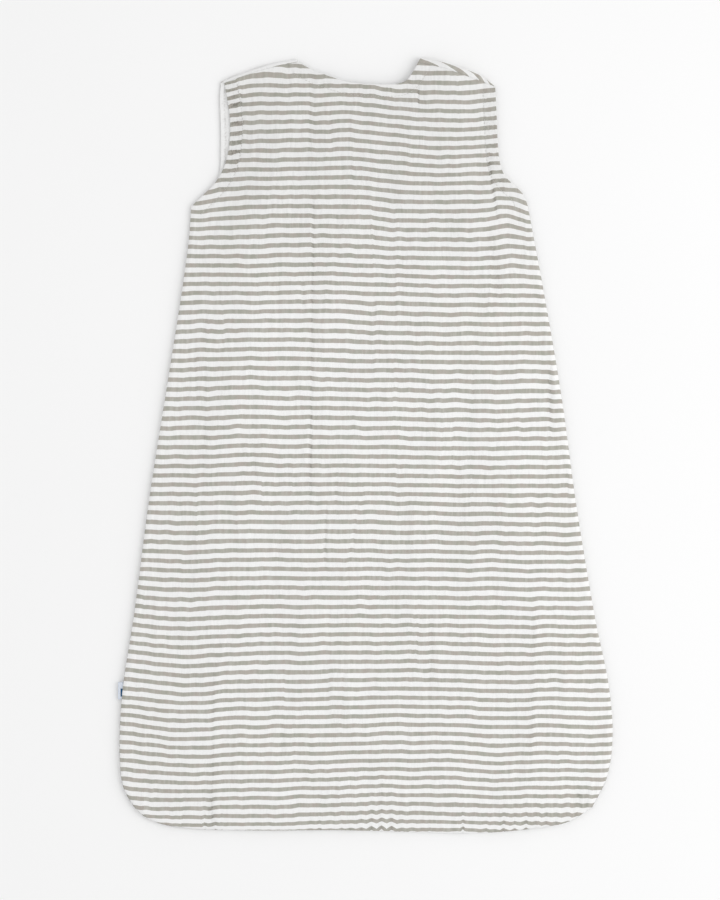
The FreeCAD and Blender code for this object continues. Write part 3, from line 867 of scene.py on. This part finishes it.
# ---- front panels
def front_plan(side, inner, shrink=0):
    """One front panel's plan points, from its outer edge in to the zip's edge at |x| = inner."""
    columns, rows = FRONT_GRID
    u = spread(columns, length=230, fine=0.7, reach=10, inset=shrink)
    v = spread(rows, length=750, fine=0.8, reach=12, inset=shrink)
    if side < 0:
        edge, fold, neck = [SIDE_LEFT, FRONT_ARMHOLE_LEFT], FOLD_LEFT, NECK_FRONT_LEFT
    else:
        edge, fold, neck = [SIDE_RIGHT, FRONT_ARMHOLE_RIGHT], FOLD_RIGHT[::-1], NECK_FRONT_RIGHT
    hem = HEM_LINE[HEM_LINE[:, 0] * side > inner][::side * -1]
    foot = (side * inner, hem[-1, 1])
    throat = (side * inner, neck[-1][1])
    neck = [*neck[:-1], throat]
    bottom = path([[*hem[::25], foot]])
    top = path([fold, neck], [TOP_AT])
    return patch(path(edge, [UNDERARM_AT]), path([[foot, throat]]), bottom, top, u, v)


def build_front(side, name):
    plan = front_plan(side, TUNNEL_HALF)
    outer = make_panel(f"front_panel_{name}", plan, front_height, STRIPED, False, -LIP_FALL)
    more = [build_shoulder(side, name), build_hem_end(side, name)]
    lay(outer, "striped_gauze", FRONT_FLAT, FRONT_AREA, "floor", f"front_outer_{name}", with_pieces=more)
    plan = front_plan(side, TUNNEL_HALF + LINING_EDGE_OUT, FRONT_LINING_IN)
    lining = make_panel(f"front_lining_cloth_{name}", plan, front_lining_height, LINING, True, LIP_FALL,
                        lie_of_front_lining)
    lay(lining, "white_gauze", FRONT_FLAT, FRONT_AREA, f"front_panel_{name}", f"front_lining_{name}")


# How far in from the hem, and how high, from inside the hem seam down and in under it.
HEM_END_PROFILE = [(0.7, 3.5), (0.4, 2.9), (0.3, 2.3), (0.6, 1.7), (1.3, 1.15), (2.4, 0.85)]
HEM_END_THICK = 0.4


def build_hem_end(side, name):
    """The front's cloth in the hem seam, from the front's own edge to the middle below the zip's end."""
    x = np.linspace(side * (TUNNEL_HALF + 1), 0, 8)
    y = np.interp(x, HEM_LINE[:, 0], HEM_LINE[:, 1])
    grid = np.stack([np.column_stack([x, y + inward, np.full(len(x), z)]) for inward, z in HEM_END_PROFILE])
    return place(plate(f"hem_end_{name}", grid, HEM_END_THICK, STRIPED), "striped_gauze")


# ---- shoulders
ROLL_STEPS = 130
ROLL_TURNS = 16
ROLL_OVER, ROLL_START = 0.2, 0.08
TUCK_IN, TUCK_DOWN = 0.3, 0.8
# How far the roll's stripes lie from the front panel's, and how much they follow its slope.
ROLL_LIE = {-1: (3.8, 0.10), 1: (3.3, 1)}


def build_shoulder(side, name):
    """The front's cloth where it rolls over the shoulder to meet the back panel at the seam."""
    fold, seam = (FOLD_LEFT, SEAM_LEFT) if side < 0 else (FOLD_RIGHT, SEAM_RIGHT)
    fold, seam = along(fold, ROLL_STEPS), along(seam, ROLL_STEPS)
    out = fold - seam
    width = lengths(out)
    away = out / (width + TINY)
    top_z = back_height(seam)[:, None] + ROLL_OVER
    middle = (top_z + FRONT_SEAM_Z) / 2
    half = (top_z - FRONT_SEAM_Z) / 2
    verts = [np.hstack([seam - away * TUCK_IN, top_z - TUCK_DOWN])]
    cloth = [seam]
    quarter = math.pi / 2 * np.sqrt((width ** 2 + half ** 2) / 2)
    for angle in np.linspace(ROLL_START, math.pi, ROLL_TURNS):
        verts.append(np.hstack([seam + out * math.sin(angle), middle + half * math.cos(angle)]))
        cloth.append(fold + away * quarter * (1 - angle / (math.pi / 2)))
    cloth[0] = cloth[1]
    phase, follow = ROLL_LIE[side]
    level = np.tile((1 - follow) * (fold[:, 1] - fold[:, 1].mean()), ROLL_TURNS + 1)
    verts, cloth = np.vstack(verts), np.vstack(cloth)
    cloth = np.column_stack([cloth[:, 0], cloth[:, 1] - level + phase, np.zeros(len(cloth))])
    faces = grid_faces(np.ones((ROLL_TURNS + 1, ROLL_STEPS), bool))
    piece = make_piece(f"shoulder_roll_{name}", verts, faces, STRIPED, cloth)
    return place(piece, "striped_gauze")


# ---- stitching
STITCH_LENGTH = 2.6
STITCH_GAP = 0.8
STITCH_LIFT = 0.12
THREAD_RADIUS = 0.22
THREAD_SIDES = 6
# A dash's rings: place along it, share of the thread's radius, and dip into the cloth.
DASH = ((-0.5, 0.3, -0.35), (-0.3, 1, 0), (0.3, 1, 0), (0.5, 0.3, -0.35))
# Beside the zip: how far out from the front's edge, and from which y to which.
ZIP_STITCH_OUT = 3.5
ZIP_STITCH_ENDS = (-380, 328)
# Points of a front that tell which side of each mouth's line its cloth is on.
INSIDE_ARMHOLE, INSIDE_NECK = (60, 250), (90, 300)


def inset_line(points, distance, toward):
    """A line at a distance from a smooth line, on the side of a given point, evenly spaced."""
    line = along(points, SEAM_SAMPLES)
    t = np.gradient(line, axis=0)
    t /= lengths(t)
    inward = np.column_stack([t[:, 1], -t[:, 0]])
    inward *= np.sign(((np.array(toward) - line) * inward).sum(1))[:, None]
    return line + inward * distance


def dash(c, t, height, sign, base):
    """One dash of thread at c along t: its points, and its faces counted from base."""
    verts, faces = [], []
    for reach, size, dip in DASH:
        for k in range(THREAD_SIDES):
            turn = math.pi / 3 * k
            side = THREAD_RADIUS * size * math.cos(turn)
            up = THREAD_RADIUS * size * math.sin(turn) + sign * dip
            spot = c + t * reach * STITCH_LENGTH + np.array([-t[1], t[0]]) * side
            verts.append((*spot, height + up))
    for ring in range(len(DASH) - 1):
        first = base + ring * THREAD_SIDES
        for k in range(THREAD_SIDES):
            a, b = first + k, first + (k + 1) % THREAD_SIDES
            faces.append((a, b, b + THREAD_SIDES, a + THREAD_SIDES))
    for first in (base, base + (len(DASH) - 1) * THREAD_SIDES):
        faces.append((first, first + 1, first + 2, first + 3))
        faces.append((first, first + 3, first + 4, first + 5))
    return verts, faces


def stitches(name, lines, height, sign):
    """Rows of thread dashes that dip into the cloth at their ends."""
    verts, faces = [], []
    for line in lines:
        at = np.concatenate([[0], np.cumsum(np.linalg.norm(np.diff(line, axis=0), axis=1))])
        middles = np.arange(STITCH_LENGTH, at[-1] - STITCH_LENGTH, STITCH_LENGTH + STITCH_GAP)
        centre, ahead = (np.column_stack([np.interp(middles + on, at, line[:, k]) for k in (0, 1)])
                         for on in (0, 0.1))
        ahead -= centre
        ahead /= lengths(ahead)
        for c, t, h in zip(centre, ahead, height(centre) + sign * STITCH_LIFT):
            more_verts, more_faces = dash(c, t, h, sign, len(verts))
            verts += more_verts
            faces += more_faces
    return place(closed(make_piece(name, verts, faces, THREAD)), "white_gauze")


def build_stitching():
    back = [inset_line(line, STITCH_IN, MIDDLE) for line in (ARMHOLE_LEFT, ARMHOLE_RIGHT, NECK_BACK)]
    stitches("back_topstitching", back, lambda p: back_height(p) + lie_of_back(p)[:, 0], 1)
    front = []
    mouths = ((-1, FRONT_ARMHOLE_LEFT, NECK_FRONT_LEFT), (1, FRONT_ARMHOLE_RIGHT, NECK_FRONT_RIGHT))
    for side, armhole, neck in mouths:
        beside = side * (TUNNEL_HALF + ZIP_STITCH_OUT)
        front.append(inset_line(armhole, STITCH_IN, (side * INSIDE_ARMHOLE[0], INSIDE_ARMHOLE[1])))
        front.append(inset_line(neck, STITCH_IN, (side * INSIDE_NECK[0], INSIDE_NECK[1])))
        front.append(np.array([(beside, y) for y in ZIP_STITCH_ENDS]))
    stitches("front_topstitching", front, front_height, -1)


# ---- zip
TAPE_INNER, TAPE_OUTER = 2.2, 15
TAPE_Z, TAPE_THICK = 5.2, 0.5
TAPE_ENDS = (-385, 327)
TAPE_WAVER = 0.12
COIL_ENDS = (-363, 322)
COIL_PITCH = 1.5
COIL_WIRE = 0.27
COIL_INNER, COIL_OUTER = -0.35, 3
COIL_HALF_HEIGHT = 0.85
COIL_TURN_STEPS = 12


def flat_grid(x0, x1, y0, y1, z, columns, rows):
    """A level grid of points over a rectangle, as rows of columns."""
    x, y = np.meshgrid(np.linspace(x0, x1, columns), np.linspace(y0, y1, rows))
    return np.dstack([x, y, np.full_like(x, z)])


def build_zip(side, name):
    """One side's tape and its continuous coil, whose loops mesh with the other side's."""
    grid = flat_grid(side * TAPE_INNER, side * TAPE_OUTER, *TAPE_ENDS, TAPE_Z, 7, 260)
    grid[..., 0] += TAPE_WAVER * np.sin(grid[..., 1] / 7) * (np.abs(grid[..., 0]) > TAPE_OUTER - 1)
    tape = plate(f"woven_tape_{name}", grid, TAPE_THICK, TAPE)
    place(tape, "zip_tape", f"zipper_tape_{name}")
    turns = int((COIL_ENDS[1] - COIL_ENDS[0]) / COIL_PITCH)
    t = np.linspace(0, turns * 2 * math.pi, turns * COIL_TURN_STEPS)
    half = (COIL_OUTER - COIL_INNER) / 2
    x = side * (COIL_INNER + half + half * np.cos(t))
    y = COIL_ENDS[0] + COIL_PITCH * (t / (2 * math.pi) + (0.5 if side > 0 else 0))
    z = TAPE_Z + COIL_HALF_HEIGHT * np.sin(t)
    coil = tube(f"zip_coil_{name}", np.column_stack([x, y, z]), COIL_WIRE, 5, COIL)
    place(coil, "zip_coil", f"zipper_teeth_{name}")


def tube(name, line, radius, around, material):
    """A round tube along a line, closed at both ends."""
    t = np.gradient(line, axis=0)
    t /= lengths(t)
    side = np.cross(t, (0, 1, 0))
    side /= lengths(side)
    up = np.cross(side, t)
    turns = np.linspace(0, 2 * math.pi, around, endpoint=False)
    rings = line[:, None] + radius * (np.cos(turns)[None, :, None] * side[:, None]
                                      + np.sin(turns)[None, :, None] * up[:, None])
    verts = rings.reshape(-1, 3)
    number = np.arange(len(verts)).reshape(len(line), around)
    ahead = np.roll(number, -1, axis=1)
    quads = np.stack([number[:-1], ahead[:-1], ahead[1:], number[1:]], -1).reshape(-1, 4)
    return closed(make_piece(name, verts, quads, material), around)


# The strip behind the zip and the garage over its top end: x and y ranges, height and thickness.
STRIP_X, STRIP_Y, STRIP_Z, STRIP_THICK = (-17.5, 13.5), (-370, 326), 7.9, 0.9
STRIP_WAVER = 0.25
CAP_X, CAP_Y, CAP_Z, CAP_THICK = (-7, 7), (326.5, 336.5), 5.6, 1.6
CAP_SLOPE = 0.16


def build_guards():
    """The strip behind the zip and the garage over its top end."""
    grid = flat_grid(*STRIP_X, *STRIP_Y, STRIP_Z, 21, 240)
    waver = ripple(grid[..., :2].reshape(-1, 2), SEEDS["strip"], 9, 40)
    grid[..., 2] += STRIP_WAVER * waver.reshape(grid.shape[:2])
    strip = plate("zip_underlap_strip", grid, STRIP_THICK, LINING)
    lay(strip, "white_gauze", (0.031, 0.696), None, "front_lining_cloth_left", "zipper_underlap")
    grid = flat_grid(*CAP_X, *CAP_Y, CAP_Z, 15, 15)
    grid[..., 2] += CAP_SLOPE * (CAP_Y[1] - grid[..., 1])
    guard = plate("zip_garage_cap", grid, CAP_THICK, STRIPED)
    lay(guard, "striped_gauze", (0.014, 0.011), None, "front_lining_cloth_left", "chin_guard")


# ---- labels
TAB_SAG = 3.5
TAB_THICK = 0.3
TAB_NOSE = (-243.6, 3, 0.55)
MARK_X, MARK_Y, MARK_Z = (-241.4, -239.4), (3, 10.5), 4.1
LABEL_GAP = 0.5
LABEL_THICK = 0.25


def build_tab():
    """A folded tape tab in the side seam, with its woven mark."""
    low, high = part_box("side_label")
    y0, y1 = low[1] / MM - TAB_SAG, high[1] / MM - TAB_SAG
    x, z, r = TAB_NOSE
    turn = np.linspace(-math.pi / 2, math.pi / 2, 9)
    nose = [(x - r * math.cos(a), z + r * math.sin(a)) for a in turn]
    profile = np.array([(-236, 2.2), (-240, 2.4), *nose, (-240, 3.6), (-236, 3.8)])
    grid = np.stack([np.column_stack([profile[:, 0], np.full(len(profile), y), profile[:, 1]])
                     for y in np.linspace(y0, y1, 14)])
    tab = plate("side_tab", grid, TAB_THICK, TAB)
    lay(tab, "label_tape", (0.018, 0.018), None, "front_panel_left", "side_label")
    grid = flat_grid(*MARK_X, *(y0 + y for y in MARK_Y), MARK_Z, 5, 9)
    place(plate("tab_woven_mark", grid, TAB_THICK, NAVY), "label_tape")


def build_label(node, x0, x1, y0, y1, height):
    """A satin label that lies at a height over its plan."""
    grid = flat_grid(x0, x1, y0, y1, 0, 16, 20)
    grid[..., 2] = height(grid[..., :2].reshape(-1, 2)).reshape(grid.shape[:2])
    label = plate(f"{node}_satin", grid, LABEL_THICK, SATIN)
    size = ((x1 - x0) * MM, (y1 - y0) * MM)
    lay(label, "label_satin", size, None, "front_lining_cloth_left", node)


build_back()
for sign, which in ((-1, "left"), (1, "right")):
    build_front(sign, which)
    build_zip(sign, which)
build_guards()
build_tab()
build_label("neck_label", -15, 15, 331, 349, lambda p: back_lining_height(p) - LABEL_GAP)
build_label("care_label", -219, -187, -150, -104, lambda p: front_lining_height(p) + LABEL_GAP)
build_stitching()
HARDWARE = {COIL: ("zipper_top_stops", "zipper_bottom_stops"),
            METAL: ("slider_upper", "slider_lower", "pull_upper", "pull_lower")}
for finish, nodes in HARDWARE.items():
    for node in nodes:
        part = bpy.data.objects[node]
        part.data.materials.clear()
        part.data.materials.append(finish)


# ---- set
CAMERA_LENS = 85
VIEW_HEIGHT = 900
VIEW_CENTRE = (-1.5, -5, 10)
KEY_PLACE = (2, 0, 1.8)
KEY_SIZE = (1.4, 2.1)
KEY_POWER = 20.5
SKY_STRENGTH = 0.85


def build_set():
    bpy.ops.mesh.primitive_plane_add(size=12, location=(0, 0, 0))
    floor = bpy.context.object
    floor.name = "floor"
    floor.data.materials.append(paper("floor_paper"))
    world = bpy.data.worlds.new("studio")
    bpy.context.scene.world = world
    world.use_nodes = True
    sky = world.node_tree.nodes["Background"].inputs
    sky["Color"].default_value = (1, 1, 1, 1)
    sky["Strength"].default_value = SKY_STRENGTH
    light = bpy.data.lights.new("key", "AREA")
    light.shape = "RECTANGLE"
    light.size, light.size_y = KEY_SIZE
    light.energy = KEY_POWER
    key = bpy.data.objects.new("key", light)
    key.location = KEY_PLACE
    key.rotation_euler = (-key.location).to_track_quat("-Z", "Y").to_euler()
    bpy.context.scene.collection.objects.link(key)


def build_camera():
    data = bpy.data.cameras.new("camera")
    data.lens = CAMERA_LENS
    camera = bpy.data.objects.new("camera", data)
    away = VIEW_HEIGHT * CAMERA_LENS / data.sensor_width
    camera.location = Vector((VIEW_CENTRE[0], VIEW_CENTRE[1], VIEW_CENTRE[2] + away)) * MM
    bpy.context.scene.collection.objects.link(camera)
    bpy.context.scene.camera = camera
    bpy.context.scene.view_settings.view_transform = "Standard"


build_set()
build_camera()
